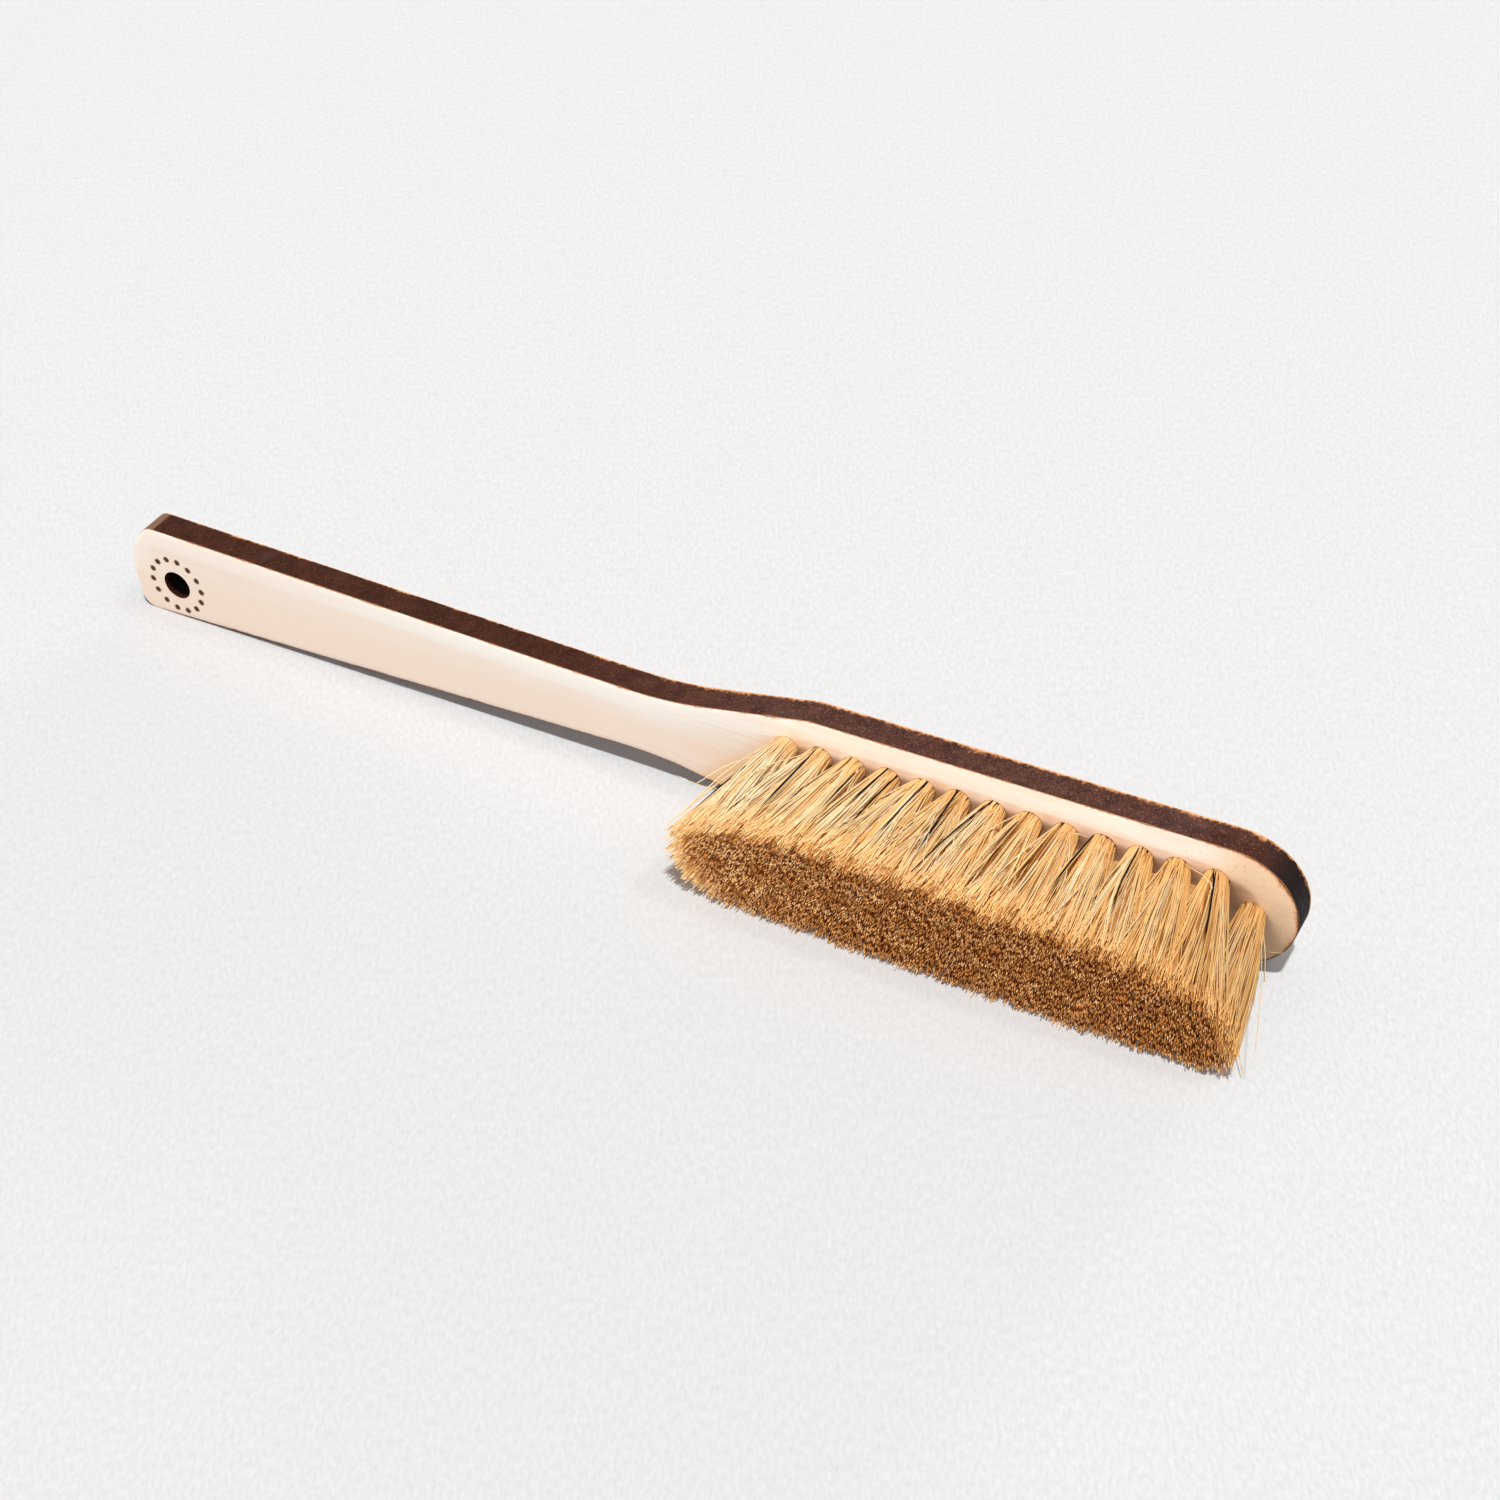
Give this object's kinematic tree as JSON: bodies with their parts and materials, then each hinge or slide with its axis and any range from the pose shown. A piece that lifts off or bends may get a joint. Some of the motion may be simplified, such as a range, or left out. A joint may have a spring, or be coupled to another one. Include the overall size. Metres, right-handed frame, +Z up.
{
  "type": "climbing brush",
  "caption": "Long-handled wooden brush with a rounded head, staggered rows of stiff bristle tufts and a hanging hole, for cleaning climbing holds.",
  "frame": {"origin": "bottom centre of the bounding box, on the table that the brush lies on", "axes": "+X along the board from the handle's end to the head's tip, +Y out of the flat back of the board with the bristles pointing to -Y, +Z up, across the board"},
  "size_m": [0.3188, 0.041, 0.0335],
  "materials": {
    "board_wood": "smooth sanded pale wood with scorched dark brown edges",
    "bristle": "stiff natural bristle, golden with darker cut tips"
  },
  "bodies": {
    "root": {"handle_board": "board_wood", "tuft_upper_01": "bristle", "tuft_upper_02": "bristle", "tuft_upper_03": "bristle", "tuft_upper_04": "bristle", "tuft_upper_05": "bristle", "tuft_upper_06": "bristle", "tuft_upper_07": "bristle", "tuft_upper_08": "bristle", "tuft_upper_09": "bristle", "tuft_upper_10": "bristle", "tuft_upper_11": "bristle", "tuft_upper_12": "bristle", "tuft_upper_13": "bristle", "tuft_middle_01": "bristle", "tuft_middle_02": "bristle", "tuft_middle_03": "bristle", "tuft_middle_04": "bristle", "tuft_middle_05": "bristle", "tuft_middle_06": "bristle", "tuft_middle_07": "bristle", "tuft_middle_08": "bristle", "tuft_middle_09": "bristle", "tuft_middle_10": "bristle", "tuft_middle_11": "bristle", "tuft_middle_12": "bristle", "tuft_lower_01": "bristle", "tuft_lower_02": "bristle", "tuft_lower_03": "bristle", "tuft_lower_04": "bristle", "tuft_lower_05": "bristle", "tuft_lower_06": "bristle", "tuft_lower_07": "bristle", "tuft_lower_08": "bristle", "tuft_lower_09": "bristle", "tuft_lower_10": "bristle", "tuft_lower_11": "bristle", "tuft_lower_12": "bristle", "tuft_lower_13": "bristle", "tuft_tip": "bristle"}
  },
  "joints": []
}
